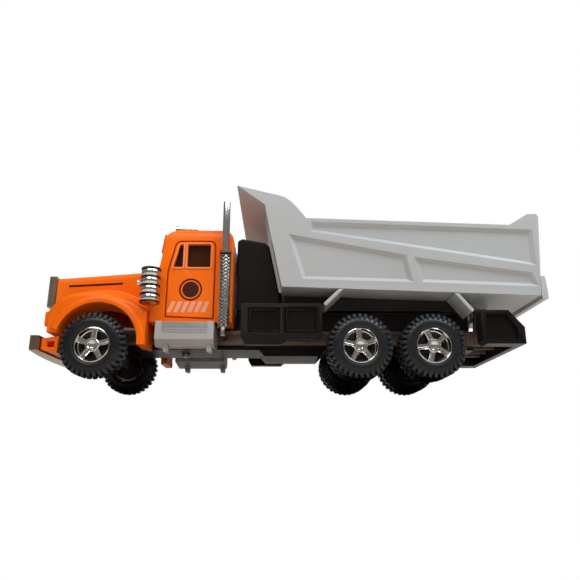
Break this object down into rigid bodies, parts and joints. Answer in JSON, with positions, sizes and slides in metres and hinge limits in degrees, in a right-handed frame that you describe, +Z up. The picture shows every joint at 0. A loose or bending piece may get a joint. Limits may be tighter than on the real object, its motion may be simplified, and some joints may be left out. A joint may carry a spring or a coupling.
{
  "type": "toy dump truck",
  "caption": "Toy dump truck with a long-nosed cab, chrome stacks and air cleaners, tandem dual rear wheels, and a tipping bed with a hinged tailgate.",
  "frame": {"origin": "on the ground, under the middle of the truck's overall box", "axes": "+X forward, +Y to the truck's left, +Z up"},
  "size_m": [0.2744, 0.0906, 0.107],
  "materials": {
    "orange_paint": "gloss enamel",
    "chrome_plastic": "vacuum-plated, bright",
    "black_plastic": "satin",
    "frame_plastic": "satin",
    "bed_plastic": "satin",
    "silver_plastic": "satin metallic",
    "tyre": "moulded rubber",
    "smoked_glazing": "smoked, glossy",
    "red_lens": "clear red",
    "steel": "bright"
  },
  "bodies": {
    "chassis": {"chassis_frame": "frame_plastic", "chassis_belly": "black_plastic", "bed_support_deck": "black_plastic", "bumper_support": "orange_paint", "front_bumper": "chrome_plastic", "hood_shell": "orange_paint", "grille_surround": "chrome_plastic", "radiator_mesh": "black_plastic", "cab_shell": "orange_paint", "cab_glazing": "smoked_glazing", "cab_interior": "black_plastic", "steering_wheel": "black_plastic", "sun_visor": "orange_paint", "rear_bumper": "black_plastic", "hoist_tank": "black_plastic", "chassis_screw_front": "steel", "chassis_screw_rear": "steel", "bed_hinge_pin": "steel", "headlight_left": "chrome_plastic", "headlight_right": "chrome_plastic", "air_horn_left": "chrome_plastic", "air_horn_right": "chrome_plastic", "air_cleaner_left": "chrome_plastic", "air_cleaner_right": "chrome_plastic", "exhaust_stack_left": "chrome_plastic", "exhaust_stack_right": "chrome_plastic", "heat_shield_left": "chrome_plastic", "heat_shield_right": "chrome_plastic", "fuel_tank_left": "silver_plastic", "fuel_tank_right": "silver_plastic", "side_box_left": "black_plastic", "side_box_right": "black_plastic", "tail_lamp_left": "red_lens", "tail_lamp_right": "red_lens"},
    "bed": {"bed_shell": "bed_plastic", "mud_flap_front_left": "bed_plastic", "mud_flap_rear_left": "bed_plastic", "mud_flap_front_right": "bed_plastic", "mud_flap_rear_right": "bed_plastic", "tailgate_pin": "steel"},
    "tailgate": {"tailgate": "bed_plastic"},
    "front_wheels": {"axle_front": "steel", "rim_front_left": "chrome_plastic", "tyre_front_left": "tyre", "rim_front_right": "chrome_plastic", "tyre_front_right": "tyre"},
    "rear_1_wheels": {"axle_rear_1": "steel", "rim_rear_1_left": "chrome_plastic", "tyre_rear_1_left": "tyre", "tyre_rear_1_left_inner": "tyre", "rim_rear_1_right": "chrome_plastic", "tyre_rear_1_right": "tyre", "tyre_rear_1_right_inner": "tyre"},
    "rear_2_wheels": {"axle_rear_2": "steel", "rim_rear_2_left": "chrome_plastic", "tyre_rear_2_left": "tyre", "tyre_rear_2_left_inner": "tyre", "rim_rear_2_right": "chrome_plastic", "tyre_rear_2_right": "tyre", "tyre_rear_2_right_inner": "tyre"}
  },
  "joints": [
    {"name": "front_axle_spin", "type": "hinge", "parent": "chassis", "child": "front_wheels", "pos_m": [0.1015, 0, 0.017], "axis": [0, 1, 0], "continuous": true},
    {"name": "rear_axle_1_spin", "type": "hinge", "parent": "chassis", "child": "rear_1_wheels", "pos_m": [-0.0365, 0, 0.017], "axis": [0, 1, 0], "continuous": true},
    {"name": "rear_axle_2_spin", "type": "hinge", "parent": "chassis", "child": "rear_2_wheels", "pos_m": [-0.0745, 0, 0.017], "axis": [0, 1, 0], "continuous": true},
    {"name": "bed_tilt", "type": "hinge", "parent": "chassis", "child": "bed", "pos_m": [-0.1075, 0, 0.039], "axis": [0, -1, 0], "range_deg": [0, 45]},
    {"name": "tailgate_swing", "type": "hinge", "parent": "bed", "child": "tailgate", "pos_m": [-0.1322, 0, 0.0866], "axis": [0, 1, 0], "range_deg": [0, 60]}
  ]
}
